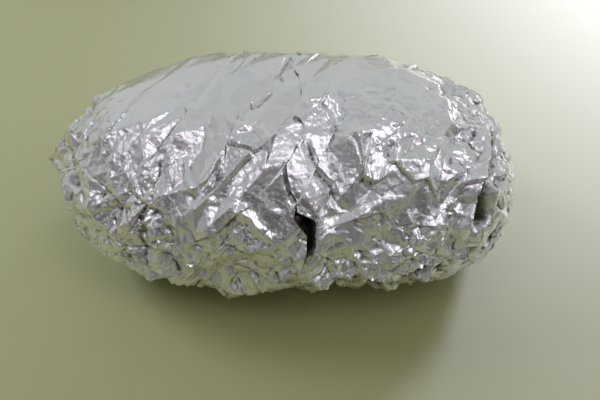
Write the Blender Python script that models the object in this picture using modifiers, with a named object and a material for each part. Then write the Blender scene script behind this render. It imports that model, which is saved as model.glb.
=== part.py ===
"""A whole potato wrapped in aluminium foil for baking, lying on its side.

Three solids. foil_packet is the potato in its first wrapping, with both gathered ends. Two
outer sheets lie over it: left_foil_sheet, and right_foil_sheet, which laps over the left one
at a seam round the middle. Metres, +Z up, +X along the packet, with the origin on the floor
under the middle of the box.

A place on the packet is a station, from -1 at the left tip to 1 at the right end, and a turn
in degrees: 0 along the top, 90 along the front (-Y), 180 underneath and -90 along the back.
"""

import itertools
import math

import bmesh
import bpy
import numpy as np
from mathutils import Matrix

# ---- driving dimensions -------------------------------------------------------------------
LENGTH = 0.140  # of the packet, tip to end
WIDTH = 0.0755
HEIGHT = 0.0616
FLAT_SINK = 0.0022  # how much of the round underside is pressed flat on the floor

SECTION_POWER = 2.25  # 2 is an ellipse, and a little more squares its shoulders
LEFT_TAPER = (2.40, 2.35)  # inner and outer power of each end's curve
RIGHT_TAPER = (2.55, 2.75)
LEFT_LEAN = (0.0009, 0.0008)  # how far each end stands forwards and hangs
RIGHT_LEAN = (0.0022, 0.0026)
LEAN_START = 0.35  # distance from the middle, in stations, where the ends start to lean

TIP_LENGTH = 0.0050  # of the twist that closes the left end
TIP_SHARE = 0.34  # the twist starts where the packet is this share of its full width
TIP_TURN = 45  # how far the twist turns, in degrees
TIP_RISE = (0.0028, 0.0038)  # how far the tip stands back and up from the packet's axis
TIP_RISE_START = 0.90  # station, to the left, where it starts to rise

SHEET = 0.0007  # thickness of a crumpled outer sheet
SHEET_GAP = 0.0013  # from the packet to an outer sheet, which is wider than their creases
SEAM_LIFT = 0.0018  # the right sheet rides up over the left one
SEAM_RUN = (0.05, 0.25)  # shares of the right sheet's length between which it settles again
END_FLARE = 0.0018  # how far the right sheet's end stands off the packet
FLARE_RUN = (0.92, 1.0)  # shares of its length between which the flare grows
BACK_EDGE = -138  # turn of both sheets' edge low on the back
EDGE_RUN = 0.10  # station and turn past a sheet's edge where the packet is back at full size
EDGE_TURN = 14

# ---- crumple ------------------------------------------------------------------------------
# Each size of facet: the cell, the depth on the front, low on the front, on the smooth back and
# at the ends, the slant of the line it is drawn out along, how far, and a seed.
FACETS = (
    (0.0330, 0.0044, 0.0044, 0.0024, 0.0018, 40, 1.3, 780),
    (0.0170, 0.0042, 0.0042, 0.0009, 0.0018, 50, 1.6, 806),
    (0.0088, 0.0020, 0.0024, 0.0005, 0.0018, -15, 1.6, 666),
)
BEND_CELLS = 3.0  # size of the bends in the creases, in cells
BEND = 0.12  # and how far they stray
FRONT_TURN = (-25, 22)  # the smooth back gives way to the crumpled front
LOW_TURN = (38, 72)  # the upper front gives way to the lower one
UNDER_TURN = (125, 165)  # and the front to the smooth underside
ENDS = (0.55, 0.88)  # distances from the middle, in stations, where the ends' fine creases come in
ENDS_MIDDLE = -0.06
FADE = (0.20, 0.65)  # shares of the full section between which the creases grow to full depth
TABLE = 64  # the scattered points repeat after this many cells

# ---- resolution ---------------------------------------------------------------------------
PACKET_GRID = (54, 47)  # faces round the packet and along it
LEFT_GRID = (26, 37)  # along the sheet and round it
RIGHT_GRID = (20, 34)
SCATTER = 0.28  # how far points stray from an even grid, in cells


def smooth(value, low, high):
    """0 below low, 1 above high and an S-curve between them."""
    share = np.clip((value - low) / (high - low), 0.0, 1.0)
    return share * share * (3.0 - 2.0 * share)


def through(value, *knots):
    """Straight lines through (place, height) knots."""
    return np.interp(value, [knot[0] for knot in knots], [knot[1] for knot in knots])


# ---- the smooth form ----------------------------------------------------------------------
def taper(station):
    """Share of the full section at a station: 1 in the middle and 0 at both ends."""
    left = station < 0
    inner = np.where(left, LEFT_TAPER[0], RIGHT_TAPER[0])
    outer = np.where(left, LEFT_TAPER[1], RIGHT_TAPER[1])
    return (1.0 - np.clip(np.abs(station), 0.0, 1.0) ** inner) ** (1.0 / outer)


def form(station, turn):
    """Points on the packet before it is crumpled."""
    size = taper(station)
    tip = np.clip(1.0 - size / TIP_SHARE, 0.0, 1.0) * (station < 0)
    angle = np.radians(turn + TIP_TURN * tip)
    across, up = np.sin(angle), np.cos(angle)
    reach = size * (np.abs(across) ** SECTION_POWER + np.abs(up) ** SECTION_POWER) ** (-1.0 / SECTION_POWER)
    rise = smooth(-station, TIP_RISE_START, 1.0)
    left, right = smooth(-station, LEAN_START, 1.0), smooth(station, LEAN_START, 1.0)
    forwards = LEFT_LEAN[0] * left + RIGHT_LEAN[0] * right
    droop = LEFT_LEAN[1] * left + RIGHT_LEAN[1] * right
    x = (LENGTH - TIP_LENGTH) / 2 * station + TIP_LENGTH * (0.5 - tip**1.5)
    y = TIP_RISE[0] * rise - forwards - WIDTH / 2 * reach * across
    z = TIP_RISE[1] * rise + HEIGHT / 2 * (1.0 + reach * up) - droop - FLAT_SINK
    return np.stack([x, y, z], axis=-1)


def outward(station, turn):
    """Unit normals of the smooth form, square to two short steps on it."""
    ahead = form(np.minimum(station + 0.001, 1.0), turn) - form(np.maximum(station - 0.001, -1.0), turn)
    round_it = form(station, turn + 0.1) - form(station, turn - 0.1)
    normal = np.cross(round_it, ahead)
    return normal / np.maximum(np.linalg.norm(normal, axis=-1, keepdims=True), 1e-12)


# ---- crumple ------------------------------------------------------------------------------
def to_nearest(place, seed):
    """Squared distance to the nearest of the points that are scattered one to a cube."""
    table = np.random.default_rng(seed).random((TABLE, TABLE, TABLE, 3), dtype=np.float32)
    corner = np.floor(place).astype(int)
    nearest = np.full(place.shape[:-1], np.inf)
    for step in itertools.product((-1, 0, 1), repeat=3):
        x, y, z = np.moveaxis((corner + step) % TABLE, -1, 0)
        gap = place - corner - step - table[x, y, z]
        nearest = np.minimum(nearest, (gap * gap).sum(axis=-1))
    return nearest


def facets(place, seed):
    """Heights of flat facets that meet in sharp ridges and valleys: the difference between the
    squared distances to two sets of scattered points, which is flat wherever both stay the
    nearest."""
    return to_nearest(place, seed) - to_nearest(place, seed + 1)


def waves(place, seed):
    """Soft waves from -1 to 1: the mean of four sine waves that run in random directions."""
    rng = np.random.default_rng(seed)
    runs = rng.normal(size=(3, 4))
    runs *= rng.uniform(0.6, 1.3, 4) / np.linalg.norm(runs, axis=0)
    return np.sin(2.0 * math.pi * (place @ runs + rng.random(4))).mean(axis=-1)


def drawn_out(place, slant, drawn):
    """Places squeezed along one line, so that a pattern on them is drawn out along it: slant
    degrees down from the packet's length, as seen on its front."""
    angle = math.radians(slant)
    line = np.array([math.cos(angle), -math.sqrt(0.5) * math.sin(angle), -math.sqrt(0.5) * math.sin(angle)])
    return place + (1.0 / drawn - 1.0) * (place @ line)[..., None] * line


def foil(station, turn, lift):
    """Points on the form, moved outwards by lift and by the facets: deep on the front, shallow on
    the back and underneath, and as deep for the small facets as for the large ones at the ends."""
    bare = form(station, turn)
    front = smooth(turn, *FRONT_TURN) - smooth(turn, *UNDER_TURN)
    low = smooth(turn, *LOW_TURN)
    ends = smooth(np.abs(station - ENDS_MIDDLE), *ENDS)
    height = 0.0
    for cell, high_depth, low_depth, back_depth, end_depth, slant, drawn, seed in FACETS:
        wide = bare / (BEND_CELLS * cell)
        bends = np.stack([waves(wide, seed + 100 * axis) for axis in (1, 2, 3)], axis=-1)
        bent = drawn_out(bare + BEND * cell * bends, slant, drawn)
        on_front = high_depth + (low_depth - high_depth) * low
        depth = back_depth + (on_front - back_depth) * front
        depth = depth + (end_depth - depth) * ends
        height = height + depth * facets(bent / cell, seed)
    height = height * smooth(taper(station), *FADE) + lift
    return bare + outward(station, turn) * height[..., None]


# ---- edges of the outer sheets ------------------------------------------------------------
def left_start(turn):
    """Station of the left sheet's left edge."""
    return through(turn, (-138, -0.84), (-60, -0.91), (-20, -0.955), (40, -0.95), (90, -0.93), (136, -0.87))


def left_end(turn):
    """Station of the left sheet's right edge, under the right sheet except low on the front."""
    return through(turn, (36, 0.11), (46, 0.035), (66, 0.05), (82, 0.07), (90, 0.06))


def left_low(share):
    """Turn of the left sheet's front edge, cut on the slant so that it climbs to the seam."""
    return through(share, (0.0, 136), (0.62, 130), (1.0, 86))


def right_start(turn):
    """Station of the right sheet's left edge, which is the seam."""
    low = (38, 0.02), (46, 0.02), (54, 0.055), (66, 0.11), (76, 0.10), (84, 0.085)
    return through(turn, (-12, 0.05), (10, 0.045), (22, 0.06), *low)


def right_end(turn):
    """Station of the right sheet's right edge."""
    return through(turn, (-138, 0.72), (-50, 0.67), (-15, 0.86), (20, 0.86), (60, 0.80), (100, 0.73))


def right_low(share):
    """Turn of the right sheet's front edge."""
    return through(share, (0.0, 94), (0.3, 100), (0.6, 97), (0.8, 92), (1.0, 84))


LEFT_EDGES = (left_start, left_end, left_low)
RIGHT_EDGES = (right_start, right_end, right_low)


def under_sheet(station, turn, edges):
    """1 under a sheet, and from its edges outwards an S-curve down to 0."""
    start, end, low = edges
    past_start = station - start(turn)
    before_end = end(turn) - station
    above_low = low(np.clip(past_start / (past_start + before_end), 0.0, 1.0)) - turn
    along = smooth(past_start, -EDGE_RUN, 0.0) * smooth(before_end, -EDGE_RUN, 0.0)
    return along * smooth(above_low, -EDGE_TURN, 0.0) * smooth(turn - BACK_EDGE, -EDGE_TURN, 0.0)


# ---- solids -------------------------------------------------------------------------------
def foil_material(name, shade, roughness):
    """Bare aluminium foil."""
    material = bpy.data.materials.new(name)
    material.use_nodes = True
    shader = material.node_tree.nodes["Principled BSDF"]
    shader.inputs["Base Color"].default_value = (shade, shade, shade, 1.0)
    shader.inputs["Metallic"].default_value = 1.0
    shader.inputs["Roughness"].default_value = roughness
    return material


def placed(shape, points, name, material, collection):
    """Moves a bmesh's points, splits its faces into triangles and makes it an object."""
    for vertex, point in zip(shape.verts, points):
        vertex.co = point
    bmesh.ops.triangulate(shape, faces=shape.faces, quad_method="SHORT_EDGE")
    bmesh.ops.recalc_face_normals(shape, faces=shape.faces)
    mesh = bpy.data.meshes.new(name)
    shape.to_mesh(mesh)
    shape.free()
    mesh.materials.append(material)
    made = bpy.data.objects.new(name, mesh)
    collection.objects.link(made)
    return made


def packet(material, collection):
    """The wrapped potato: a sphere, with its poles at the ends, drawn out to the form."""
    round_it, along = PACKET_GRID
    shape = bmesh.new()
    bmesh.ops.create_uvsphere(shape, u_segments=round_it, v_segments=along, radius=1.0)
    ball = np.array([vertex.co for vertex in shape.verts])
    stray = np.random.default_rng(5).uniform(-SCATTER, SCATTER, (len(ball), 2))
    latitude = np.arcsin(np.clip(ball[:, 2], -1.0, 1.0))
    pole = np.abs(ball[:, 2]) > 0.99999
    latitude = latitude + np.where(pole, 0.0, stray[:, 0] * math.pi / along)
    turn = np.degrees(np.arctan2(ball[:, 0], ball[:, 1])) + stray[:, 1] * 360 / round_it
    station = np.where(pole, np.sign(ball[:, 2]), np.sin(latitude))
    turn = (turn + 180) % 360 - 180

    covered = np.maximum(under_sheet(station, turn, LEFT_EDGES), under_sheet(station, turn, RIGHT_EDGES))
    points = foil(station, turn, -(SHEET + SHEET_GAP) * covered)
    points[:, 2] = np.maximum(points[:, 2], 0.0)
    return placed(shape, points, "foil_packet", material, collection)


def sheet(name, grid, edges, seam_lift, end_flare, material, collection):
    """An outer sheet: a flat grid laid on the form between its edges, and given a thickness.
    It is lifted by seam_lift along its start edge, and by end_flare along its end edge."""
    start, end, low = edges
    shape = bmesh.new()
    bmesh.ops.create_grid(shape, x_segments=grid[0], y_segments=grid[1], size=0.5)
    flat = np.array([vertex.co for vertex in shape.verts]) + 0.5
    stray = np.random.default_rng(7).uniform(-SCATTER, SCATTER, (len(flat), 2)) / grid
    inner = np.all((flat[:, :2] > 0.001) & (flat[:, :2] < 0.999), axis=1)
    share, drop = (flat[:, :2] + stray * inner[:, None]).T
    turn = BACK_EDGE + (low(share) - BACK_EDGE) * drop
    station = start(turn) + (end(turn) - start(turn)) * share

    lift = seam_lift * (1.0 - smooth(share, *SEAM_RUN)) + end_flare * smooth(share, *FLARE_RUN)
    points = foil(station, turn, lift)
    made = placed(shape, points, name, material, collection)
    if made.data.polygons[0].normal.dot(made.data.vertices[0].co) < 0:
        made.data.flip_normals()
    thickness = made.modifiers.new("thickness", "SOLIDIFY")
    thickness.thickness = SHEET
    thickness.offset = -1.0
    return made


def settle(objects):
    """Moves the meshes together so that the origin is on the floor under the box's middle."""
    points = np.concatenate([[vertex.co for vertex in made.data.vertices] for made in objects])
    middle = (points.min(axis=0) + points.max(axis=0)) / 2
    for made in objects:
        made.data.transform(Matrix.Translation((-middle[0], -middle[1], 0.0)))


def main():
    """Clears the file, and builds the packet and its outer sheets."""
    for old in list(bpy.data.objects):
        bpy.data.objects.remove(old, do_unlink=True)
    collection = bpy.data.collections.new("foil_wrapped_potato")
    bpy.context.scene.collection.children.link(collection)
    inner = foil_material("foil_inner", 0.80, 0.34)
    outer = foil_material("foil_outer", 0.86, 0.24)
    wrapped = packet(inner, collection)
    left = sheet("left_foil_sheet", LEFT_GRID, LEFT_EDGES, 0.0, 0.0, outer, collection)
    right = sheet("right_foil_sheet", RIGHT_GRID, RIGHT_EDGES, SEAM_LIFT, END_FLARE, outer, collection)
    settle([wrapped, left, right])


main()
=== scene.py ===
"""Looks of a potato wrapped in aluminium foil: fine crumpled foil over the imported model.

A place on the packet is a station, from -1 at the twisted left tip to 1 at the right end, and
a turn in degrees: 0 along the top, 90 along the front (-Y), 180 underneath and -90 along the
back. Every foil surface is the smooth form of the packet at its stations and turns, moved in
and out by creases.
"""

import itertools
import logging
import math
from dataclasses import dataclass, replace
from enum import Enum
from typing import Callable

import bpy
import numpy as np
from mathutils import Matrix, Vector


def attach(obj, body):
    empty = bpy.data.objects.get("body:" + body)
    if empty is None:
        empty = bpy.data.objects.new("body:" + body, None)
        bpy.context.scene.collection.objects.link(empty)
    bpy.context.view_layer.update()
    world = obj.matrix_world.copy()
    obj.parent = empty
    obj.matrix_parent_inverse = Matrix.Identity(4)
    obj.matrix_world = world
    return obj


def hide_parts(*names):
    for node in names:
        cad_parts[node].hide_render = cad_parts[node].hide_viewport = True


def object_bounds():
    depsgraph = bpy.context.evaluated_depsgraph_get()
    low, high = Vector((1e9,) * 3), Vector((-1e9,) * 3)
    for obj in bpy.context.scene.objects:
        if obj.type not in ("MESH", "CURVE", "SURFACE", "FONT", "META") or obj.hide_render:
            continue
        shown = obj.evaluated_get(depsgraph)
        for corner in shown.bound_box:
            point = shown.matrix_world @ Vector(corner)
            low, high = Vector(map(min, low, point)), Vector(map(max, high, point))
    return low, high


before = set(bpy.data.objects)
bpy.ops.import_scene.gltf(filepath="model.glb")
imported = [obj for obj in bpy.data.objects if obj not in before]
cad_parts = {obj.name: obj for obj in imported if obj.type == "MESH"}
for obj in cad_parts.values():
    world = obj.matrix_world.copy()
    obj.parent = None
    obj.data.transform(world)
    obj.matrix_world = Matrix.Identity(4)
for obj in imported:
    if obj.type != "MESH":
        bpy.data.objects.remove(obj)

CAD_BOX = [list(corner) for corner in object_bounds()]
LOG = logging.getLogger("foil_wrapped_potato")
Array = np.ndarray
Edge = Callable[[Array], Array]
Colour = tuple[float, float, float]
TINY = 1e-12  # keeps a length from being nothing
MM = 0.001


def smooth(value: Array, low: float, high: float) -> Array:
    """Blend from 0 to 1.

    Args:
        value: what to blend by.
        low: value where the result is 0.
        high: value where the result is 1.

    Returns:
        0 below low, 1 above high, and between them the S-curve 3t^2 - 2t^3.
    """
    share = np.clip((value - low) / (high - low), 0.0, 1.0)
    return share * share * (3.0 - 2.0 * share)


def through(value: Array, *knots: tuple[float, float]) -> Array:
    """Straight lines from knot to knot.

    Args:
        value: places where they are read.
        knots: (place, height) pairs, in order of place.

    Returns:
        Heights, with the first or last knot's height beyond the ends.
    """
    return np.interp(value, [knot[0] for knot in knots], [knot[1] for knot in knots])


def unit(vectors: Array) -> Array:
    """Bring vectors to length 1.

    Args:
        vectors: any array of them, along its last axis.

    Returns:
        The same directions, each over its own length.
    """
    return vectors / np.maximum(np.linalg.norm(vectors, axis=-1, keepdims=True), TINY)


# ---- the smooth form ----------------------------------------------------------------------
@dataclass(frozen=True)
class Form:
    """The packet before it is crumpled: sizes in metres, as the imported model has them."""

    length: float = 0.140
    width: float = 0.0755
    height: float = 0.0616
    flat_sink: float = 0.0022
    section_power: float = 2.25
    left_taper: tuple[float, float] = (2.4, 2.35)
    right_taper: tuple[float, float] = (2.55, 2.75)
    left_lean: tuple[float, float] = (0.0009, 0.0008)  # how far the end stands forwards and hangs
    right_lean: tuple[float, float] = (0.0022, 0.0026)
    lean_start: float = 0.35
    tip_length: float = 0.0050
    tip_share: float = 0.34
    tip_turn: float = 45.0
    tip_rise: tuple[float, float] = (0.0028, 0.0038)
    tip_rise_start: float = 0.90
    pleats: int = 5  # round the gathered tip
    pleat_depth: float = 0.34  # as a share of its section
    pleats_from: float = 0.50  # share of the full section where they start
    pleats_run: float = 0.35  # how much further it shrinks until they are deepest
    station_step: float = 0.001  # short steps that directions are found by
    turn_step: float = 0.1

    def taper(self, station: Array) -> Array:
        """Share of the full section, (1 - |u|^a)^(1/b).

        Args:
            station: -1 to 1 along the packet.

        Returns:
            1 in the middle, to 0 at both ends.
        """
        left = station < 0
        inner = np.where(left, self.left_taper[0], self.right_taper[0])
        outer = np.where(left, self.left_taper[1], self.right_taper[1])
        return (1.0 - np.clip(np.abs(station), 0.0, 1.0) ** inner) ** (1.0 / outer)

    def points(self, station: Array, turn: Array) -> Array:
        """Places on the smooth packet.

        A superellipse section that shrinks with the taper. At the left tip it is twisted,
        drawn out and pleated, with the depth of the pleats going as |sin(n/2 angle)| round it,
        and both ends lean forwards and hang a little.

        Args:
            station: -1 to 1 along the packet.
            turn: degrees round it.

        Returns:
            Points, with x, y and z along a new last axis.
        """
        size = self.taper(station)
        tip = np.clip(1.0 - size / self.tip_share, 0.0, 1.0) * (station < 0)
        angle = np.radians(turn + self.tip_turn * tip)
        across, up = np.sin(angle), np.cos(angle)
        power = self.section_power
        reach = size * (np.abs(across) ** power + np.abs(up) ** power) ** (-1.0 / power)
        gathered = smooth(self.pleats_from - size, 0.0, self.pleats_run) * (station < 0)
        reach = reach * (1.0 - self.pleat_depth * gathered * np.abs(np.sin(self.pleats / 2 * angle)))
        rise = smooth(-station, self.tip_rise_start, 1.0)
        left, right = smooth(-station, self.lean_start, 1.0), smooth(station, self.lean_start, 1.0)
        forwards = self.left_lean[0] * left + self.right_lean[0] * right
        droop = self.left_lean[1] * left + self.right_lean[1] * right
        x = (self.length - self.tip_length) / 2 * station + self.tip_length * (0.5 - tip**1.5)
        y = self.tip_rise[0] * rise - forwards - self.width / 2 * reach * across
        z = self.tip_rise[1] * rise + self.height / 2 * (1.0 + reach * up) - droop - self.flat_sink
        return np.stack([x, y, z], axis=-1)

    def outwards(self, station: Array, turn: Array) -> Array:
        """Directions out of the smooth packet, from two short steps over it.

        Args:
            station: -1 to 1 along the packet.
            turn: degrees round it.

        Returns:
            Unit vectors, along a new last axis.
        """
        ahead = self.points(np.minimum(station + self.station_step, 1.0), turn)
        ahead = unit(ahead - self.points(np.maximum(station - self.station_step, -1.0), turn))
        step = self.turn_step
        round_it = unit(self.points(station, turn + step) - self.points(station, turn - step))
        return unit(np.cross(round_it, ahead))


# ---- creases ------------------------------------------------------------------------------
TABLE = 64  # the scattered points repeat after this many cells
BORDER_MARKS = 20.0  # a border's mark is the fraction of this many times the points' distance
PINCHED = (0.3, 0.9)  # marks of borders that aren't pinched and that are pinched fully
VALLEY_REACH = 2.0  # how many times as deep a pinched valley is as a pinched ridge is high
WAVES = 4  # that soft waves are the mean of
WAVE_PACE = (0.6, 1.3)  # the least and the most of them that fit in a unit of length
LENGTHWISE = np.array([1.0, 0.0, 0.0])  # along the packet
FRONT_DOWN = np.array([0.0, -math.sqrt(0.5), -math.sqrt(0.5)])  # down the packet's front


def nearest_cell(place: Array, seed: int) -> tuple[Array, Array, Array]:
    """The cell that each place is in, of points scattered one to a cube.

    Args:
        place: one row of coordinates for each place, in cells.
        seed: which set of points.

    Returns:
        The squared distance to the nearest point, the distance to the border with the second
        nearest point's cell, and a number from 0 to 1 for that border, the same all over it.
    """
    table = np.random.default_rng(seed).random((TABLE, TABLE, TABLE, 3), dtype=np.float32)
    corner = np.floor(place).astype(np.int32)
    share = (place - corner).astype(np.float32)
    first, second = np.full((2, len(place)), np.inf, np.float32)
    first_point, second_point = np.zeros((2, len(place), 3), np.float32)
    for step in itertools.product((-1, 0, 1), repeat=3):
        point = table[tuple(((corner + step) % TABLE).T)] + np.array(step, np.float32)
        distance = ((share - point) ** 2).sum(axis=1)
        closer = distance < first
        between = ~closer & (distance < second)
        second = np.where(closer, first, np.where(between, distance, second))
        beaten = np.where(between[:, None], point, second_point)
        second_point = np.where(closer[:, None], first_point, beaten)
        first = np.where(closer, distance, first)
        first_point = np.where(closer[:, None], point, first_point)
    apart = np.linalg.norm(second_point - first_point, axis=1)
    return first, (second - first) / (2.0 * apart), BORDER_MARKS * apart % 1.0


def creased(place: Array, pinch_width: float, seed: int) -> tuple[Array, Array]:
    """Flat facets that meet in sharp ridges and valleys.

    The height is the difference between the squared distances to the nearest of two sets of
    scattered points, which is flat wherever both stay the nearest. Along a border of the first
    set it has a ridge, and along one of the second a valley. Some of them are pinched: a
    narrow tent along the border, up on ridges and, twice as far, down in valleys.

    Args:
        place: one row of coordinates for each place, in cells.
        pinch_width: half the width of a pinched line, in cells.
        seed: which pattern.

    Returns:
        The facets' height, from about -1 to 1, and the pinched lines' height, from -2 to 1.
    """
    height, pinch = np.zeros((2, len(place)))
    for sign, own_seed in ((1.0, seed), (-1.0, seed + 1)):
        distance, border, mark = nearest_cell(place, own_seed)
        height += sign * distance
        reach = 1.0 if sign > 0 else VALLEY_REACH
        tent = np.clip(1.0 - border / pinch_width, 0.0, 1.0)
        pinch += sign * reach * smooth(mark, *PINCHED) * tent
    return height, pinch


def waves(place: Array, seed: int) -> Array:
    """Soft waves: the mean of a few sine waves that run in random directions.

    Args:
        place: one row of coordinates for each place, in wavelengths.
        seed: which waves.

    Returns:
        Heights from -1 to 1.
    """
    rng = np.random.default_rng(seed)
    runs = rng.normal(size=(3, WAVES))
    runs *= rng.uniform(*WAVE_PACE, WAVES) / np.linalg.norm(runs, axis=0)
    return np.sin(2.0 * math.pi * (place @ runs + rng.random(WAVES))).mean(axis=1)


def drawn_out(place: Array, slant: float, drawn: float) -> Array:
    """Squeeze places along one line, so that a pattern on them is drawn out along it.

    Args:
        place: one row of coordinates for each place.
        slant: of the line, in degrees down from the packet's length as seen on its front.
        drawn: how many times as long the pattern gets.

    Returns:
        The places, as many rows.
    """
    angle = math.radians(slant)
    line = math.cos(angle) * LENGTHWISE + math.sin(angle) * FRONT_DOWN
    return place + (1.0 / drawn - 1.0) * (place @ line)[:, None] * line


@dataclass(frozen=True)
class FacetSize:
    """One size of facet: its cell and its depth in each zone, in metres."""

    cell: float
    high: float  # on the upper front
    low: float  # on the lower front
    back: float
    ends: float
    slant: float  # of the line that facets are drawn out along, in degrees
    drawn: float  # and how far
    patchy: float  # share of the front's depth that comes and goes in patches
    pinch: float  # height of the pinched lines, as a share of the depth
    seed: int


class FoldKind(Enum):
    """How the foil is folded along a line."""

    RIDGE = "a pinched line that stands up"
    VALLEY = "a pinched line that lies in"
    LAP = "a layer's edge: low on the left of the line, high on its right"


RIDGE, VALLEY, LAP = FoldKind


@dataclass(frozen=True)
class Fold:
    """A listed fold, from one (station, turn) to another, with sizes in millimetres."""

    start: tuple[float, float]
    end: tuple[float, float]
    kind: FoldKind
    depth: float
    width: float
    bow: float = 0.0  # how far the middle of the line bends sideways


# The folds that stand out among the rest, from top to bottom. Facing along a fold, with the
# packet seen from its front, a lap's high side is on the right.
FOLDS = (
    # the smooth top
    Fold((0.02, -34), (-0.01, -8), VALLEY, 0.9, 1.6),
    Fold((-0.19, -28), (-0.11, -3), RIDGE, 0.3, 1.5),
    Fold((-0.13, 1), (-0.10, 6), VALLEY, 0.5, 0.9),
    Fold((-0.10, 6), (-0.04, -5), VALLEY, 0.6, 0.9),
    Fold((0.22, 0), (0.32, 2), VALLEY, 0.5, 1.5),
    Fold((-0.28, -2), (-0.26, 20), RIDGE, 0.35, 2.0),
    Fold((-1.00, -48), (-0.80, -6), VALLEY, 2.4, 4.5),
    Fold((-1.00, -20), (-0.86, 12), LAP, 1.2, 1.6),
    # the upper front, left of the seam
    Fold((-0.45, 30), (-0.43, -8), LAP, 0.6, 0.8, 1.0),
    Fold((-0.24, 13), (-0.11, 15), RIDGE, 0.9, 2.2),
    Fold((-0.11, 15), (-0.06, 31), RIDGE, 0.8, 1.6),
    Fold((-0.24, 19), (-0.12, 32), VALLEY, 0.7, 1.0),
    Fold((-0.32, 15), (-0.35, 30), RIDGE, 0.5, 1.2, -1.5),
    Fold((-0.245, 18), (-0.24, 31), VALLEY, 0.8, 0.8),
    Fold((-0.28, 27), (-0.33, 45), RIDGE, 1.3, 3.2),
    Fold((-0.42, 33), (-0.38, 46), RIDGE, 0.7, 0.9),
    Fold((-0.51, 34), (-0.55, 51), VALLEY, 0.8, 1.0),
    Fold((-0.40, 50), (-0.24, 38), VALLEY, 1.3, 2.4),
    # the upper front, right of the seam
    Fold((0.06, 5), (0.26, 7), RIDGE, 1.0, 2.4),
    Fold((0.07, 8), (0.19, 14), RIDGE, 0.6, 1.2),
    Fold((0.17, 14), (0.28, 35), RIDGE, 1.0, 1.3),
    Fold((0.24, 21), (0.35, 42), RIDGE, 1.0, 1.3),
    Fold((0.27, 6), (0.55, 12), LAP, 1.8, 1.3),
    Fold((0.43, 41), (0.29, 38), LAP, 1.3, 0.9),
    Fold((0.07, 26), (0.26, 52), VALLEY, 1.4, 1.5, 1.5),
    Fold((0.61, 47), (0.40, 33), LAP, 1.0, 0.9),
    Fold((0.56, 19), (0.79, 4), RIDGE, 0.8, 2.6),
    Fold((0.67, 29), (0.63, 44), RIDGE, 0.9, 2.0),
    # the lower front, left of the seam
    Fold((-0.14, 55), (-0.42, 74), LAP, 1.3, 0.8),
    Fold((-0.18, 73), (-0.44, 88), LAP, 1.1, 0.8),
    Fold((-0.22, 56), (-0.02, 70), RIDGE, 0.8, 2.2),
    # the layered folds right of the seam
    Fold((0.42, 57), (0.15, 62), LAP, 1.0, 0.7),
    Fold((0.67, 56), (0.46, 62), LAP, 1.1, 0.7),
    Fold((0.53, 66), (0.37, 77), LAP, 1.5, 0.8),
    Fold((0.48, 76), (0.19, 79), LAP, 1.3, 0.7),
    Fold((0.69, 77), (0.50, 89), LAP, 1.4, 0.8),
    Fold((0.50, 84), (0.17, 88), LAP, 1.0, 0.6),
)
# The dip beside the seam, which the left sheet and the packet have.
SEAM_DIP = (
    Fold((0.05, -36), (0.05, 24), VALLEY, 0.2, 1.2),
    Fold((0.05, 16), (0.01, 52), VALLEY, 0.3, 1.4),
)
# Open gaps, on the packet alone: past the right sheet's end edge, and low on the seam.
END_OPENING = (
    Fold((0.70, -50), (0.905, -18), VALLEY, 2.4, 1.8),
    Fold((0.905, -24), (0.845, 22), VALLEY, 2.8, 1.9),
    Fold((0.85, 12), (0.825, 44), VALLEY, 3.2, 2.0),
    Fold((0.83, 36), (0.79, 70), VALLEY, 3.4, 2.1),
)
SEAM_OPENING = (Fold((0.03, 44), (0.085, 92), VALLEY, 3.4, 3.2),)
# And one where the left tip is folded over, on the left sheet and the packet.
TIP_OPENING = (Fold((-1.00, -30), (-0.885, -14), VALLEY, 2.2, 1.5),)


@dataclass(frozen=True)
class Zones:
    """Parts of the packet, each as the turns or stations where it starts and is full."""

    front: tuple[float, float] = (-25, 22)
    underneath: tuple[float, float] = (125, 165)
    low: tuple[float, float] = (38, 72)
    ends: tuple[float, float] = (0.55, 0.88)  # stations from the middle
    middle: float = -0.06

    def on_front(self, turn: Array) -> Array:
        """How far a place is on the front.

        Args:
            turn: degrees round the packet.

        Returns:
            0 on the top and back and underneath, to 1 on the front.
        """
        return smooth(turn, *self.front) - smooth(turn, *self.underneath)

    def at_ends(self, station: Array) -> Array:
        """How far a place is on one of the ends.

        Args:
            station: -1 to 1 along the packet.

        Returns:
            0 in the middle, to 1 at both ends.
        """
        return smooth(np.abs(station - self.middle), *self.ends)


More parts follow.
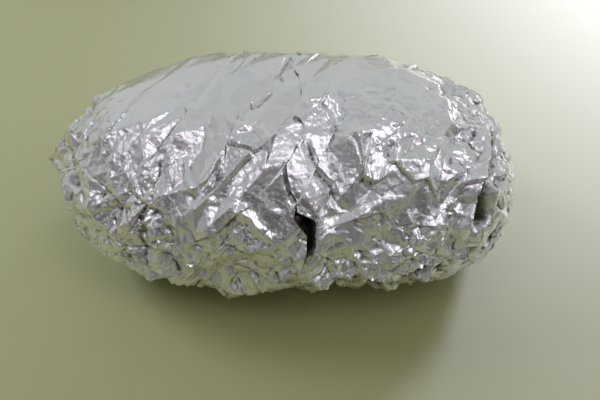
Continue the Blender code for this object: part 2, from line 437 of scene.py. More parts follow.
@dataclass(frozen=True)
class Crumple:
    """How far the foil stands out of the smooth form."""

    form: Form
    zones: Zones = Zones()
    girth: float = 0.216  # round the packet's middle
    bend_size: float = 3.0  # of the bends in the creases, in cells
    bend: float = 0.12  # and how far they stray
    patch_size: float = 0.045
    patch_blend: tuple[float, float] = (-0.25, 0.35)  # waves where a patch is calm and crumpled
    patch_seed: int = 777
    pinch_width: float = 0.00045  # half the width of a pinched line
    lap_run: float = 6.0  # how far a lap runs back, in widths
    # Shares of a fold's line: where it fades in, and is full after its start and before its end.
    fold_fade: tuple[float, float, float] = (-0.02, 0.18, 0.25)
    # Share of the full section where facets start and are full, for large ones and small ones,
    # and the cell that parts them.
    large_fade: tuple[float, float] = (0.20, 0.65)
    small_fade: tuple[float, float] = (0.05, 0.30)
    large_cell: float = 0.006
    large: tuple[FacetSize, ...] = (
        FacetSize(0.0330, 0.0044, 0.0044, 0.0024, 0.0018, 40, 1.3, 0.0, 0.0, 780),
        FacetSize(0.0170, 0.0042, 0.0042, 0.0009, 0.0018, 50, 1.6, 0.0, 0.0, 806),
        FacetSize(0.0088, 0.0020, 0.0024, 0.0005, 0.0018, -15, 1.6, 0.0, 0.0, 666),
    )
    small: tuple[FacetSize, ...] = (
        FacetSize(0.0056, 0.0006, 0.0029, 0.00024, 0.0015, 60, 1.5, 0.6, 0.10, 41),
        FacetSize(0.0026, 0.00014, 0.0010, 0.00006, 0.00070, -20, 1.4, 0.7, 0.10, 53),
    )
    plates: tuple[int, int] = (22, 30)  # flat plates along the packet and round it
    plate_scatter: float = 0.36  # how far their corners stray, as a share of a plate
    plate_seed: int = 25
    plate_limit: float = 0.995  # the last station that a corner may have
    plate_blend: tuple[float, float] = (0.20, 0.45)  # share of the full section where they start
    folds: tuple[Fold, ...] = FOLDS
    gaps: tuple[Fold, ...] = ()  # folds that are open, with painted shade inside
    gap_shade_depth: tuple[float, float] = (0.0008, 0.0022)  # depths where their painted shade starts, and is darkest

    def share(self, station: Array, turn: Array) -> Array:
        """How crumpled the foil is.

        Args:
            station: -1 to 1 along the packet.
            turn: degrees round it.

        Returns:
            0 on the smooth top and back, to 1 on the front and the ends.
        """
        return np.maximum(self.zones.on_front(turn), self.zones.at_ends(station))

    def flat(self, station: Array, turn: Array) -> Array:
        """Places on the foil as if it were laid flat.

        Args:
            station: -1 to 1 along the packet.
            turn: degrees round it.

        Returns:
            Metres along the packet and round it, along a new last axis.
        """
        return np.stack([station * self.form.length / 2, turn / 360 * self.girth], axis=-1)

    def surface(self, station: Array, turn: Array, lift: Array) -> Array:
        """Places on the crumpled foil.

        The smooth form with the large facets on it, which in the middle of the packet is
        replaced by flat plates between places on it, and then moved outwards by the small
        facets, the listed folds and the lift.

        Args:
            station: -1 to 1 along the packet.
            turn: degrees round it.
            lift: how far to move the foil outwards, in metres.

        Returns:
            Points, with x, y and z along a new last axis.
        """
        out = self.form.outwards(station, turn)
        bare = self.form.points(station, turn)
        bent = bare + out * self.facets(self.large, bare, station, turn)[..., None]
        flatness = smooth(self.form.taper(station), *self.plate_blend)[..., None]
        place = bent + (self.on_plates(station, turn) - bent) * flatness
        height = self.facets(self.small, place, station, turn)
        flat = self.flat(station, turn)
        for fold in self.folds + self.gaps:
            height += self.fold_height(fold, flat)
        return place + out * (height + lift)[..., None]

    def gap_shade_mask(self, station: Array, turn: Array) -> Array:
        """How much painted shade a place gets from lying deep in the open folds.

        Args:
            station: -1 to 1 along the packet.
            turn: degrees round it.

        Returns:
            0 outside them, to 1 deep inside.
        """
        flat = self.flat(station, turn)
        height = np.zeros(station.shape)
        for fold in self.gaps:
            height += self.fold_height(fold, flat)
        return smooth(-height, *self.gap_shade_depth)

    def on_plates(self, station: Array, turn: Array) -> Array:
        """Places on flat triangles between scattered corners.

        The corners are a skewed lattice of stations and turns, each strayed a little, on the
        form with the large facets. A place is the mean of the three corners round it,
        weighted by how near it is to each.

        Args:
            station: -1 to 1 along the packet.
            turn: degrees round it.

        Returns:
            Points, with x, y and z along a new last axis.
        """
        rows, columns = self.plates
        row, column = np.meshgrid(np.arange(rows + 2), np.arange(columns), indexing="ij")
        stray = np.random.default_rng(self.plate_seed).uniform(-1.0, 1.0, (2, rows + 2, columns))
        corner_station = 2.0 * (row + self.plate_scatter * stray[0]) / rows - 1.0
        corner_station = np.clip(corner_station, -self.plate_limit, self.plate_limit)
        corner_turn = (column + self.plate_scatter * stray[1] - 0.5 * row) * 360.0 / columns
        corner_turn = (corner_turn + 180.0) % 360.0 - 180.0
        corners = self.form.points(corner_station, corner_turn)
        out = self.form.outwards(corner_station, corner_turn)
        height = self.facets(self.large, corners, corner_station, corner_turn)
        corners = corners + out * height[..., None]
        along = (station + 1.0) / 2.0 * rows
        across = turn / 360.0 * columns + 0.5 * along
        row, column = np.floor(along).astype(int), np.floor(across).astype(int)
        right, up = along - row, across - column
        far = right + up > 1.0
        nearest = corners[row + far, (column + far) % columns]
        beside = corners[row + 1, column % columns]
        above = corners[row, (column + 1) % columns]
        beside_share = np.where(far, 1.0 - up, right)[..., None]
        above_share = np.where(far, 1.0 - right, up)[..., None]
        return nearest + (beside - nearest) * beside_share + (above - nearest) * above_share

    def facets(self, sizes: tuple[FacetSize, ...], place: Array, station: Array, turn: Array) -> Array:
        """Height of facets over the form.

        The sum of the facets of each size, with the depth of the zone that the place is in,
        fading to nothing at both tips.

        Args:
            sizes: of the facets.
            place: where they are read, in metres.
            station: -1 to 1 along the packet.
            turn: degrees round it.

        Returns:
            Heights in metres.
        """
        shape, place = station.shape, place.reshape(-1, 3)
        station, turn = station.ravel(), turn.ravel()
        front, ends = self.zones.on_front(turn), self.zones.at_ends(station)
        low = smooth(turn, *self.zones.low)
        patches = smooth(waves(place / self.patch_size, self.patch_seed), *self.patch_blend)
        taper = self.form.taper(station)
        height = np.zeros(len(place))
        for size in sizes:
            wide = place / (self.bend_size * size.cell)
            bends = np.stack([waves(wide, size.seed + 100 * axis) for axis in (1, 2, 3)], axis=-1)
            bent = drawn_out(place + self.bend * size.cell * bends, size.slant, size.drawn)
            on_front = size.high + (size.low - size.high) * low
            on_front = on_front * (1.0 - size.patchy + size.patchy * patches)
            depth = size.back + (on_front - size.back) * front
            depth = depth + (size.ends - depth) * ends
            flat_height, pinch = creased(bent / size.cell, self.pinch_width / size.cell, size.seed)
            fade = smooth(taper, *(self.large_fade if size.cell > self.large_cell else self.small_fade))
            height += fade * depth * (flat_height + size.pinch * pinch)
        return height.reshape(shape)

    def fold_height(self, fold: Fold, flat: Array) -> Array:
        """Height that one fold adds.

        With d the distance to the line, a ridge is depth times 1 - |d| / width, and a valley is
        the same downwards. A lap rises to depth over half its width and falls straight back to
        nothing over lap_run times its width. Each fades out at both ends of the line, which is
        bent sideways by a parabola of height bow.

        Args:
            fold: the fold.
            flat: places on the flat foil, in metres.

        Returns:
            Heights in metres.
        """
        ends = [self.flat(np.array(end[0]), np.array(end[1])) for end in (fold.start, fold.end)]
        run = ends[1] - ends[0]
        length = float(np.hypot(*run))
        run = run / length
        share = ((flat - ends[0]) @ run) / length
        aside = (flat - ends[0]) @ np.array([-run[1], run[0]])
        aside = aside - MM * fold.bow * 4.0 * share * (1.0 - share)
        width, depth = MM * fold.width, MM * fold.depth
        begun, after_start, before_end = self.fold_fade
        fade = smooth(share, begun, after_start) * smooth(1.0 - share, begun, before_end)
        if fold.kind is LAP:
            profile = through(aside / width, (-0.5, 0.0), (0.0, 1.0), (self.lap_run, 0.0))
        else:
            profile = np.clip(1.0 - np.abs(aside) / width, 0.0, 1.0)
        sign = -1.0 if fold.kind is VALLEY else 1.0
        return sign * depth * profile * fade


# ---- meshes -------------------------------------------------------------------------------
CREASE_SHADE_PASSES = 9  # how many times the mean is taken to find the creases for the painted shade
CREASE_SHADE_DEPTH = (0.00005, 0.00038)  # depths below the mean, in metres, where the painted shade in the creases starts and is darkest
SHARP_ANGLE = 24.0  # degrees between faces from which an edge is sharp


def grid_quads(rows: int, columns: int, wrap: bool = False) -> Array:
    """Number the corners of the squares of a grid of points.

    Args:
        rows: of points.
        columns: of points.
        wrap: whether the last column is joined to the first.

    Returns:
        One row of four corner numbers for each square.
    """
    index = np.arange(rows * columns).reshape(rows, columns)
    if wrap:
        index = np.concatenate([index, index[:, :1]], axis=1)
    corners = [index[:-1, :-1], index[:-1, 1:], index[1:, 1:], index[1:, :-1]]
    return np.stack(corners, axis=-1).reshape(-1, 4)


def ring_of(rows: int, columns: int) -> Array:
    """Number the points round the edge of a grid.

    Args:
        rows: of points.
        columns: of points.

    Returns:
        The numbers in order, each once.
    """
    index = np.arange(rows * columns).reshape(rows, columns)
    return np.concatenate([index[0, :-1], index[:-1, -1], index[-1, :0:-1], index[:0:-1, 0]])


def crease_shade_mask(points: Array, outward: Array, wrap: bool = False) -> Array:
    """How much painted shade each point of a grid gets, from 0 to 1, by how deep in a crease it lies.

    The depth of the point below the mean of the points round it, which is found by taking the
    mean of each point's neighbours again and again.

    Args:
        points: rows by columns by 3, in metres.
        outward: unit normals of the same shape.
        wrap: whether the last column is beside the first.

    Returns:
        Rows by columns.
    """
    mean = points
    for _ in range(CREASE_SHADE_PASSES):
        wide = np.pad(mean, ((1, 1), (0, 0), (0, 0)), mode="edge")
        mean = (wide[:-2] + 2.0 * wide[1:-1] + wide[2:]) / 4.0
        wide = np.pad(mean, ((0, 0), (1, 1), (0, 0)), mode="wrap" if wrap else "edge")
        mean = (wide[:, :-2] + 2.0 * wide[:, 1:-1] + wide[:, 2:]) / 4.0
    return smooth(np.sum((mean - points) * outward, axis=-1), *CREASE_SHADE_DEPTH)


def new_piece(
    name: str,
    points: Array,
    faces: list[Array],
    material: bpy.types.Material,
    marks: dict[str, Array] | None = None,
) -> bpy.types.Object:
    """Make a mesh object at the origin.

    Args:
        name: of the piece.
        points: one row for each point, in metres.
        faces: arrays of corner numbers, one array for each number of corners.
        material: its finish.
        marks: values at each point, from 0 to 1, for the finish to read by name.

    Returns:
        The object, smooth between sharp creases.
    """
    corners = np.concatenate([group.ravel() for group in faces]).astype(np.int32)
    sizes = np.concatenate([np.full(len(group), group.shape[1]) for group in faces]).astype(np.int32)
    mesh = bpy.data.meshes.new(name)
    mesh.vertices.add(len(points))
    mesh.vertices.foreach_set("co", points.astype(np.float32).ravel())
    mesh.loops.add(len(corners))
    mesh.loops.foreach_set("vertex_index", corners)
    mesh.polygons.add(len(sizes))
    starts = np.concatenate([[0], np.cumsum(sizes)[:-1]])
    mesh.polygons.foreach_set("loop_start", starts.astype(np.int32))
    mesh.update(calc_edges=True)
    mesh.validate()
    mesh.materials.append(material)
    for mark, values in (marks or {}).items():
        attribute = mesh.attributes.new(mark, "FLOAT", "POINT")
        attribute.data.foreach_set("value", values.astype(np.float32))
    mesh.shade_smooth()
    mesh.set_sharp_from_angle(angle=math.radians(SHARP_ANGLE))
    piece = bpy.data.objects.new(name, mesh)
    bpy.context.scene.collection.objects.link(piece)
    return piece


# ---- shader nodes -------------------------------------------------------------------------
Source = bpy.types.NodeSocket | float | tuple[float, ...]  # what a socket gets: another or a constant


def feed(tree: bpy.types.NodeTree, socket: bpy.types.NodeSocket, source: Source) -> None:
    """Give an input socket its source.

    Args:
        tree: that the socket is in.
        socket: the input.
        source: what it gets.
    """
    if isinstance(source, bpy.types.NodeSocket):
        tree.links.new(source, socket)
    else:
        socket.default_value = source


def operated(
    tree: bpy.types.NodeTree, kind: str, operation: str, first: Source, second: Source
) -> bpy.types.NodeSocket:
    """Add a node that works on two values or vectors.

    Args:
        tree: that it is added to.
        kind: "Math" or "VectorMath".
        operation: what it does.
        first: source of its first input.
        second: source of its second.

    Returns:
        The socket with the result.
    """
    node = tree.nodes.new(f"ShaderNode{kind}")
    node.operation = operation
    feed(tree, node.inputs[0], first)
    feed(tree, node.inputs[1], second)
    return next(output for output in node.outputs if output.enabled)


def blend_range(
    tree: bpy.types.NodeTree, value: Source, low: float, high: float, kind: str = "SMOOTHSTEP"
) -> bpy.types.NodeSocket:
    """Add a blend from 0 to 1.

    Args:
        tree: that it is added to.
        value: what to blend by.
        low: value where the result is 0.
        high: value where the result is 1.
        kind: of curve between them.

    Returns:
        The socket with the result.
    """
    blend = tree.nodes.new("ShaderNodeMapRange")
    blend.interpolation_type = kind
    for name, source in (("Value", value), ("From Min", low), ("From Max", high)):
        feed(tree, blend.inputs[name], source)
    return blend.outputs["Result"]


def mixed(tree: bpy.types.NodeTree, share: Source, colour: Source, other: Source) -> bpy.types.NodeSocket:
    """Add a mix of two colours.

    Args:
        tree: that it is added to.
        share: of the other colour.
        colour: the first one.
        other: the other one.

    Returns:
        The socket with the result.
    """
    mix = tree.nodes.new("ShaderNodeMix")
    mix.data_type = "RGBA"
    for number, source in ((0, share), (6, colour), (7, other)):
        feed(tree, mix.inputs[number], source)
    return mix.outputs[2]


# ---- finishes -----------------------------------------------------------------------------
LINE_SQUEEZE = (0.12, 1.0, 1.0)  # the rolled lines run along the packet
SECOND_SET = 5.3  # how far the crinkles' second set of points is moved, in metres
DULL_PATCHES = (0.35, 0.70)  # values of the patches' noise from bright to dull


def foil_grain_group() -> bpy.types.NodeTree:
    """Shader group for foil: fine rolled lines, soft dull patches and crinkles.

    The crinkles are flat facets: the difference of the squared distances to the nearest of two
    sets of points.

    Returns:
        The group, with the values Height, Dull and Crinkle.
    """
    tree = bpy.data.node_groups.new("foil_grain", "ShaderNodeTree")
    scales = {"Line Scale": 900.0, "Patch Scale": 60.0, "Crinkle Scale": 620.0}
    for name, value in scales.items():
        socket = tree.interface.new_socket(name, in_out="INPUT", socket_type="NodeSocketFloat")
        socket.default_value = value
    for name in ("Height", "Dull", "Crinkle"):
        tree.interface.new_socket(name, in_out="OUTPUT", socket_type="NodeSocketFloat")
    nodes, links = tree.nodes, tree.links
    given, result = nodes.new("NodeGroupInput"), nodes.new("NodeGroupOutput")
    place = nodes.new("ShaderNodeTexCoord")
    squeeze = nodes.new("ShaderNodeMapping")
    squeeze.inputs["Scale"].default_value = LINE_SQUEEZE
    links.new(place.outputs["Object"], squeeze.inputs["Vector"])
    lines = nodes.new("ShaderNodeTexNoise")
    lines.inputs["Detail"].default_value = 3.0
    links.new(squeeze.outputs["Vector"], lines.inputs["Vector"])
    links.new(given.outputs["Line Scale"], lines.inputs["Scale"])
    links.new(lines.outputs["Fac"], result.inputs["Height"])
    patches = nodes.new("ShaderNodeTexNoise")
    patches.inputs["Detail"].default_value = 4.0
    links.new(place.outputs["Object"], patches.inputs["Vector"])
    links.new(given.outputs["Patch Scale"], patches.inputs["Scale"])
    links.new(patches.outputs["Fac"], result.inputs["Dull"])
    squares = []
    for offset in (0.0, SECOND_SET):
        moved = operated(tree, "VectorMath", "ADD", place.outputs["Object"], (offset, offset, offset))
        cells = nodes.new("ShaderNodeTexVoronoi")
        links.new(moved, cells.inputs["Vector"])
        links.new(given.outputs["Crinkle Scale"], cells.inputs["Scale"])
        distance = cells.outputs["Distance"]
        squares.append(operated(tree, "Math", "MULTIPLY", distance, distance))
    links.new(operated(tree, "Math", "SUBTRACT", *squares), result.inputs["Crinkle"])
    return tree


@dataclass(frozen=True)
class FoilFinish:
    """Bare aluminium foil."""

    name: str
    slot: str
    colour: Colour
    roughness: tuple[float, float]  # where it is bright, and where it is dull
    line_height: float  # of the rolled lines, in metres
    crinkle: float = 0.00011  # depth of the finest creases, in metres
    painted_shade_colour: Colour = (0.15, 0.135, 0.11)  # painted shade, deep in the creases and open folds

    def material(self, grain: bpy.types.NodeTree) -> bpy.types.Material:
        """Build the material.

        Args:
            grain: the shared group of rolled lines, dull patches and crinkles.

        Returns:
            A metallic Principled material, with its base colour darkened by painted shade where the mesh
            is marked as deep in a crease or open fold, and crinkled where it is marked as crumpled.
        """
        made = bpy.data.materials.new(self.name)
        made.use_nodes = True
        tree = made.node_tree
        nodes, links = tree.nodes, tree.links
        shader = nodes["Principled BSDF"]
        shader.inputs["Metallic"].default_value = 1.0
        marks = {}
        for mark in ("painted_shade", "crumpled"):
            read = nodes.new("ShaderNodeAttribute")
            read.attribute_name = mark
            marks[mark] = read.outputs["Fac"]
        # Painted shade: the base colour darkens towards the dark colour where the mesh is marked as lying
        # deep in a crease or open fold.
        shade = mixed(tree, marks["painted_shade"], (*self.colour, 1.0), (*self.painted_shade_colour, 1.0))
        links.new(shade, shader.inputs["Base Color"])
        pattern = nodes.new("ShaderNodeGroup")
        pattern.node_tree = grain
        rough = nodes.new("ShaderNodeMapRange")
        rough.inputs["From Min"].default_value, rough.inputs["From Max"].default_value = DULL_PATCHES
        rough.inputs["To Min"].default_value, rough.inputs["To Max"].default_value = self.roughness
        links.new(pattern.outputs["Dull"], rough.inputs["Value"])
        links.new(rough.outputs["Result"], shader.inputs["Roughness"])
        depth = operated(tree, "Math", "MULTIPLY", marks["crumpled"], pattern.outputs["Crinkle"])
        normal = None
        heights = (
            (depth, self.crinkle),
            (pattern.outputs["Height"], self.line_height),
        )
        for height, distance in heights:
            bump = nodes.new("ShaderNodeBump")
            bump.inputs["Strength"].default_value = 1.0
            bump.inputs["Distance"].default_value = distance
            links.new(height, bump.inputs["Height"])
            if normal:
                links.new(normal, bump.inputs["Normal"])
            normal = bump.outputs["Normal"]
        links.new(normal, shader.inputs["Normal"])
        return made


# ---- the pieces ---------------------------------------------------------------------------
@dataclass(frozen=True)
class SheetEdges:
    """The four edges of an outer sheet."""

    start: Edge  # stations against turn
    end: Edge
    low: Edge  # turns against the share of the way along the sheet
    back: float = -138.0  # the turn of the straight edge

    def places(self, share: Array, drop: Array) -> tuple[Array, Array]:
        """Find places on the sheet.

        Args:
            share: of the way along the sheet, from 0 to 1.
            drop: share of the way from its back edge to its low edge.

        Returns:
            Their stations and their turns.
        """
        turn = self.back + (self.low(share) - self.back) * drop
        start = self.start(turn)
        return start + (self.end(turn) - start) * share, turn

    def cover(self, station: Array, turn: Array, run: float, swing: float) -> Array:
        """How far places are under the sheet.

        Args:
            station: -1 to 1 along the packet.
            turn: degrees round it.
            run: stations past the start and end edges where it fades out.
            swing: degrees past the back and low edges where it fades out.

        Returns:
            1 under the sheet, to 0 away from it.
        """
        past_start = station - self.start(turn)
        before_end = self.end(turn) - station
        above_low = self.low(np.clip(past_start / (past_start + before_end), 0.0, 1.0)) - turn
        along = smooth(past_start, -run, 0.0) * smooth(before_end, -run, 0.0)
        return along * smooth(above_low, -swing, 0.0) * smooth(turn - self.back, -swing, 0.0)


# The left sheet's end edge lies under the right sheet.
LEFT_EDGES = SheetEdges(
    start=lambda turn: through(
        turn, (-138, -0.84), (-60, -0.91), (-20, -0.955), (40, -0.95), (90, -0.93), (136, -0.87)
    ),
    end=lambda turn: through(turn, (36, 0.11), (46, 0.035), (66, 0.05), (82, 0.07), (90, 0.06)),
    low=lambda share: through(share, (0.0, 136), (0.62, 130), (1.0, 86)),
)
RIGHT_EDGES = SheetEdges(
    start=lambda turn: through(
        turn, (-138, 0.05), (-50, 0.05), (-12, 0.05), (10, 0.045), (22, 0.06), (38, 0.02), (46, 0.02),
        (54, 0.055), (66, 0.11), (76, 0.10), (84, 0.085)
    ),
    end=lambda turn: through(
        turn, (-138, 0.72), (-50, 0.67), (-18, 0.87), (20, 0.80), (38, 0.79), (50, 0.745), (62, 0.75),
        (100, 0.69)
    ),
    low=lambda share: through(share, (0.0, 94), (0.3, 100), (0.6, 97), (0.8, 92), (1.0, 84)),
)


@dataclass
class OuterSheet:
    """A sheet of foil laid over the packet, with its sizes in metres."""

    name: str
    edges: SheetEdges
    crumple: Crumple
    rows: int  # grid points along the sheet
    columns: int  # and round it
    thickness: float = 0.00025
    seam_lift: float = 0.0  # how far the seam edge lies over the other sheet
    seam_run: tuple[float, float] = (0.02, 0.22)  # share of the way along where that fades out
    seam_on_top: float = 0.25  # share of it on the top, and the turns where it grows to all
    seam_turns: tuple[float, float] = (-10, 40)
    end_flare: float = 0.0  # how far the end edge stands off the packet, and the same for it
    end_run: tuple[float, float] = (0.93, 1.0)
    end_on_top: float = 0.45
    end_turns: tuple[float, float] = (0, 40)
    low_flare: float = 0.0  # and the low edge, over the last of the drop
    low_drop: tuple[float, float] = (0.965, 1.0)
    low_run: tuple[float, float] = (0.45, 0.7)
    top_columns: float = 0.18  # share of the columns that reach over the back and the top
    top_drop: float = 0.45  # and the share of the drop that they cover

    def surface(self) -> tuple[Array, Array, Array]:
        """Lay the outer face, as a grid of points.

        The form at each grid point's station and turn, moved outwards by the crumple, the lift
        that falls off from the seam edge, and the flares that grow towards the end edge and
        the low edge.

        Returns:
            The points, and the station and turn of each.
        """
        steps = np.linspace(0.0, 1.0, self.columns)
        drops = through(steps, (0.0, 0.0), (self.top_columns, self.top_drop), (1.0, 1.0))
        share, drop = np.meshgrid(np.linspace(0.0, 1.0, self.rows), drops, indexing="ij")
        station, turn = self.edges.places(share, drop)
        on_front = self.seam_on_top + (1.0 - self.seam_on_top) * smooth(turn, *self.seam_turns)
        lift = self.seam_lift * on_front * (1.0 - smooth(share, *self.seam_run))
        on_front = self.end_on_top + (1.0 - self.end_on_top) * smooth(turn, *self.end_turns)
        lift = lift + self.end_flare * on_front * smooth(share, *self.end_run)
        lift = lift + self.low_flare * smooth(drop, *self.low_drop) * smooth(share, *self.low_run)
        return self.crumple.surface(station, turn, lift), station, turn

    def build(self, material: bpy.types.Material) -> bpy.types.Object:
        """Close the outer face with an inner face of half as many points each way, and a rim.

        Args:
            material: the sheet's finish.

        Returns:
            The sheet.
        """
        outer, station, turn = self.surface()
        normals = unit(np.cross(np.gradient(outer, axis=1), np.gradient(outer, axis=0)))
        inner = (outer - self.thickness * normals)[::2, ::2]
        count = outer.shape[0] * outer.shape[1]
        rim = ring_of(*outer.shape[:2])
        inner_rim = ring_of(*inner.shape[:2]) + count
        first, middle, last = rim[::2], rim[1::2], np.roll(rim[::2], -1)
        below, after = inner_rim, np.roll(inner_rim, -1)
        walls = [(first, below, middle), (middle, below, after), (middle, after, last)]
        triangles = np.concatenate([np.stack(wall, axis=-1) for wall in walls])
        inner_quads = grid_quads(*inner.shape[:2])[:, ::-1] + count
        quads = np.concatenate([grid_quads(*outer.shape[:2]), inner_quads])
        points = np.concatenate([outer.reshape(-1, 3), inner.reshape(-1, 3)])
        crumpled = self.crumple.share(station, turn)
        # Painted shade: the foil is marked to be darkened deep in its creases and open folds.
        gaps = self.crumple.gap_shade_mask(station, turn)
        painted_shade = np.maximum(crease_shade_mask(outer, normals), gaps)
        marks = {
            "crumpled": np.concatenate([crumpled.ravel(), crumpled[::2, ::2].ravel()]),
            "painted_shade": np.concatenate([painted_shade.ravel(), painted_shade[::2, ::2].ravel()]),
        }
        return new_piece(self.name, points, [quads, triangles], material, marks)


@dataclass
class Packet:
    """The wrapped potato itself, which shows at both ends, along the bottom and underneath."""

    name: str
    covers: tuple[SheetEdges, ...]
    crumple: Crumple
    rows: int = 330
    columns: int = 300
    sunk: float = 0.0012  # how far it lies below the outer sheets' faces
    cover_run: float = 0.10  # stations and degrees past their edges where it is back up
    cover_swing: float = 14.0

    def build(self, material: bpy.types.Material) -> bpy.types.Object:
        """Lay rings of points from tip to tip, each closed round the packet, with a fan at each end.

        Args:
            material: the packet's finish.

        Returns:
            The packet, pressed flat where it would reach below the floor.
        """
        stations = np.sin(np.linspace(-0.5, 0.5, self.rows + 2)[1:-1] * math.pi)
        turns = np.linspace(-180.0, 180.0, self.columns, endpoint=False)
        station, turn = np.meshgrid(stations, turns, indexing="ij")
        form = self.crumple.form
        cover = np.zeros(station.shape)
        for edges in self.covers:
            under = edges.cover(station, turn, self.cover_run, self.cover_swing)
            cover = np.maximum(cover, under)
        surface = self.crumple.surface(station, turn, -self.sunk * cover)
        out = form.outwards(station, turn)
        # Painted shade: the foil is marked to be darkened deep in its creases and open folds.
        gaps = self.crumple.gap_shade_mask(station, turn)
        painted_shade = np.maximum(crease_shade_mask(surface, out, wrap=True), gaps)
        rings = surface.reshape(-1, 3)
        tips = form.points(np.array([-1.0, 1.0]), np.zeros(2))
        points = np.concatenate([rings, tips])
        points[:, 2] = np.maximum(points[:, 2], 0.0)
        ring, last = np.arange(self.columns), (self.rows - 1) * self.columns
        after = np.roll(ring, -1)
        left, right = np.full(self.columns, len(rings)), np.full(self.columns, len(rings) + 1)
        fans = np.concatenate(
            [np.stack([left, after, ring], axis=-1), np.stack([right, last + ring, last + after], axis=-1)]
        )
        marks = {
            "crumpled": np.concatenate([self.crumple.share(station, turn).ravel(), [1.0, 1.0]]),
            "painted_shade": np.concatenate([painted_shade.ravel(), [0.0, 0.0]]),
        }
        quads = grid_quads(self.rows, self.columns, wrap=True)
        return new_piece(self.name, points, [quads, fans], material, marks)


# ---- studio -------------------------------------------------------------------------------
@dataclass(frozen=True)
class Clutter:
    """Soft things in the room, in places where a noise is high."""

    colour: Colour
    scale: float
    noise: tuple[float, float]  # where they start and are full
    arc: tuple[float, float]  # and as shares of the arc over the room


@dataclass(frozen=True)
class Lamp:
    """A soft lamp overhead."""

    towards: tuple[float, float, float]
    angles: tuple[float, float]  # in degrees, where its glow ends and where it is full
    glow: Colour


@dataclass(frozen=True)
class Pool:
    """A spotlight that makes a soft pool of light on the floor."""

    name: str
    watts: float
    angle: float
    colour: Colour
    place: tuple[float, float, float]
    target: tuple[float, float, float]
    edge: float = 0.6  # share of the pool that its soft edge takes
    size: float = 0.12  # of the light


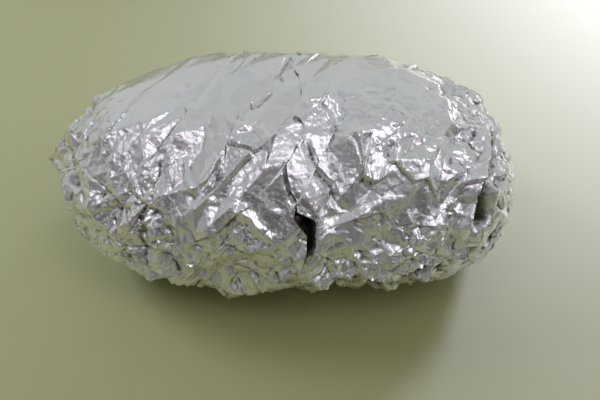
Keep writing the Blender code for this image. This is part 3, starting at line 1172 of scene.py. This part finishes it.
@dataclass
class Studio:
    """The floor, the soft light and the camera."""

    floor_colour: Colour = (0.365, 0.375, 0.165)
    floor_roughness: float = 0.5
    floor_reach: float = 1.5
    elevation: float = 50.0
    distance: float = 0.2626
    aim: tuple[float, float, float] = (0.0063, 0.0, 0.016)
    lens: float = 50.0
    # Colour of the room along an arc from the far horizon, 0, over the top, 0.5, to the near one, 1.
    room: tuple[tuple[float, Colour], ...] = (
        (0.00, (0.52, 0.54, 0.52)),
        (0.30, (0.50, 0.52, 0.52)),
        (0.52, (0.43, 0.43, 0.45)),
        (0.67, (0.19, 0.168, 0.176)),
        (0.80, (0.050, 0.036, 0.032)),
        (1.00, (0.030, 0.022, 0.018)),
    )
    clutter: tuple[Clutter, ...] = (
        Clutter((0.30, 0.31, 0.32), 4.5, (0.47, 0.62), (0.10, 0.35)),
        Clutter((0.75, 0.73, 0.76), 4.2, (0.56, 0.63), (0.50, 0.70)),
    )
    clutter_detail: float = 2.5
    lamps: tuple[Lamp, ...] = (
        Lamp((0.22, -0.16, 0.96), (16, 3), (2.3, 2.2, 2.4)),
        Lamp((-0.45, -0.25, 0.86), (11, 2), (1.8, 1.74, 1.86)),
        Lamp((0.62, -0.30, 0.73), (13, 3), (2.5, 2.4, 2.6)),
    )
    pools: tuple[Pool, ...] = (
        Pool("window", 104.0, 45, (0.75, 0.73, 1.75), (0.42, 0.46, 0.34), (0.27, 0.24, 0.0)),
        Pool("lamp", 7.0, 66, (0.98, 1.00, 1.50), (-0.45, 0.16, 0.40), (-0.26, 0.06, 0.0)),
    )

    def build(self) -> None:
        """Make the floor, the surroundings, the lights and the camera."""
        self.floor()
        self.surroundings()
        self.floor_lights()
        self.camera()

    def floor(self) -> None:
        """Lay a plain pale floor."""
        material = bpy.data.materials.new("floor")
        material.use_nodes = True
        shader = material.node_tree.nodes["Principled BSDF"]
        shader.inputs["Base Color"].default_value = (*self.floor_colour, 1.0)
        shader.inputs["Roughness"].default_value = self.floor_roughness
        flat = self.floor_reach * np.array([(-1, -1, 0), (1, -1, 0), (1, 1, 0), (-1, 1, 0)])
        new_piece("floor", flat, [np.array([[0, 1, 2, 3]])], material)

    def surroundings(self) -> None:
        """Make a soft room: grey behind, bright overhead, and dim and warm on the near side."""
        world = bpy.data.worlds.new("room")
        bpy.context.scene.world = world
        world.use_nodes = True
        tree = world.node_tree
        nodes, links = tree.nodes, tree.links
        direction = nodes.new("ShaderNodeTexCoord").outputs["Generated"]
        split = nodes.new("ShaderNodeSeparateXYZ")
        links.new(direction, split.inputs["Vector"])
        arc = operated(tree, "Math", "ARCTAN2", split.outputs["Z"], split.outputs["Y"])
        walls = nodes.new("ShaderNodeValToRGB")
        walls.color_ramp.interpolation = "B_SPLINE"
        while len(walls.color_ramp.elements) < len(self.room):
            walls.color_ramp.elements.new(0.5)
        for element, (place, colour) in zip(walls.color_ramp.elements, self.room):
            element.position, element.color = place, (*colour, 1.0)
        links.new(blend_range(tree, arc, 0.0, math.pi, "LINEAR"), walls.inputs["Fac"])
        colour = walls.outputs["Color"]
        for thing in self.clutter:
            noise = nodes.new("ShaderNodeTexNoise")
            noise.inputs["Scale"].default_value = thing.scale
            noise.inputs["Detail"].default_value = self.clutter_detail
            links.new(direction, noise.inputs["Vector"])
            share = blend_range(tree, noise.outputs["Fac"], *thing.noise)
            along = blend_range(tree, arc, *(math.pi * place for place in thing.arc))
            amount = operated(tree, "Math", "MULTIPLY", share, along)
            colour = mixed(tree, amount, colour, (*thing.colour, 1.0))
        for lamp in self.lamps:
            towards = Vector(lamp.towards).normalized()
            nearness = operated(tree, "VectorMath", "DOT_PRODUCT", direction, towards)
            share = blend_range(tree, nearness, *(math.cos(math.radians(angle)) for angle in lamp.angles))
            colour = mixed(tree, share, colour, (*lamp.glow, 1.0))
        links.new(colour, nodes["Background"].inputs["Color"])

    def floor_lights(self) -> None:
        """Light the pools on the floor, out of sight of the foil."""
        for pool in self.pools:
            light = bpy.data.lights.new(pool.name, "SPOT")
            light.energy, light.color = pool.watts, pool.colour
            light.spot_size, light.spot_blend = math.radians(pool.angle), pool.edge
            light.shadow_soft_size = pool.size
            holder = bpy.data.objects.new(pool.name, light)
            bpy.context.scene.collection.objects.link(holder)
            holder.visible_glossy = False
            self.point(holder, Vector(pool.place), Vector(pool.target))

    def camera(self) -> None:
        """Set the camera, in front and above."""
        camera = bpy.data.cameras.new("camera")
        camera.lens = self.lens
        holder = bpy.data.objects.new("camera", camera)
        bpy.context.scene.collection.objects.link(holder)
        angle = math.radians(self.elevation)
        aim = Vector(self.aim)
        back = Vector((0.0, -math.cos(angle), math.sin(angle)))
        self.point(holder, aim + self.distance * back, aim)
        bpy.context.scene.camera = holder
        bpy.context.scene.view_settings.view_transform = "Standard"

    @staticmethod
    def point(holder: bpy.types.Object, place: Vector, target: Vector) -> None:
        """Aim a light or the camera.

        Args:
            holder: its object.
            place: where it goes.
            target: what it looks at.
        """
        holder.location = place
        holder.rotation_euler = (target - place).to_track_quat("-Z", "Y").to_euler()


# ---- main ---------------------------------------------------------------------------------
def settle(pieces: list[bpy.types.Object]) -> None:
    """Move the meshes together, sideways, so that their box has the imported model's middle.

    Args:
        pieces: all pieces of the object.
    """
    corners = np.array([corner for piece in pieces for corner in piece.bound_box])
    middle = (corners.min(axis=0) + corners.max(axis=0)) / 2
    wanted = np.mean(np.array(CAD_BOX), axis=0)
    for piece in pieces:
        place = np.empty(len(piece.data.vertices) * 3, np.float32)
        piece.data.vertices.foreach_get("co", place)
        place = place.reshape(-1, 3) + (wanted - middle) * (1, 1, 0)
        piece.data.vertices.foreach_set("co", place.astype(np.float32).ravel())
        piece.data.update()


def main() -> None:
    """Build the pieces in order, hand each to the frame and report it."""
    logging.basicConfig(level=logging.INFO, format="%(message)s")
    form = Form()
    crumple = Crumple(form)
    # The folds given as gaps are cut into the foil and darkened inside with painted shade.
    dipped = replace(crumple, folds=FOLDS + SEAM_DIP, gaps=TIP_OPENING)
    opened = replace(dipped, gaps=TIP_OPENING + SEAM_OPENING + END_OPENING)
    grain = foil_grain_group()
    bright = FoilFinish("foil_outer", "foil_outer", (0.92, 0.92, 0.93), (0.22, 0.34), 0.000015)
    worn = FoilFinish("foil_inner", "foil_inner", (0.88, 0.88, 0.88), (0.23, 0.35), 0.000018)
    outer, inner = bright.material(grain), worn.material(grain)
    packet = Packet("packet", (LEFT_EDGES, RIGHT_EDGES), opened)
    left = OuterSheet("left_sheet", LEFT_EDGES, dipped, 237, 305, low_flare=0.0012)
    right = OuterSheet("right_sheet", RIGHT_EDGES, crumple, 213, 289, seam_lift=0.0020, end_flare=0.0032)
    built = [
        (packet.build(inner), "foil_packet", worn),
        (left.build(outer), "left_foil_sheet", bright),
        (right.build(outer), "right_foil_sheet", bright),
    ]
    settle([piece for piece, _, _ in built])
    for piece, node, finish in built:
        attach(piece, "root")
        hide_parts(node)
        LOG.info("%s: %d faces, stands for %s", piece.name, len(piece.data.polygons), node)
    Studio().build()


if __name__ == "__main__":
    main()
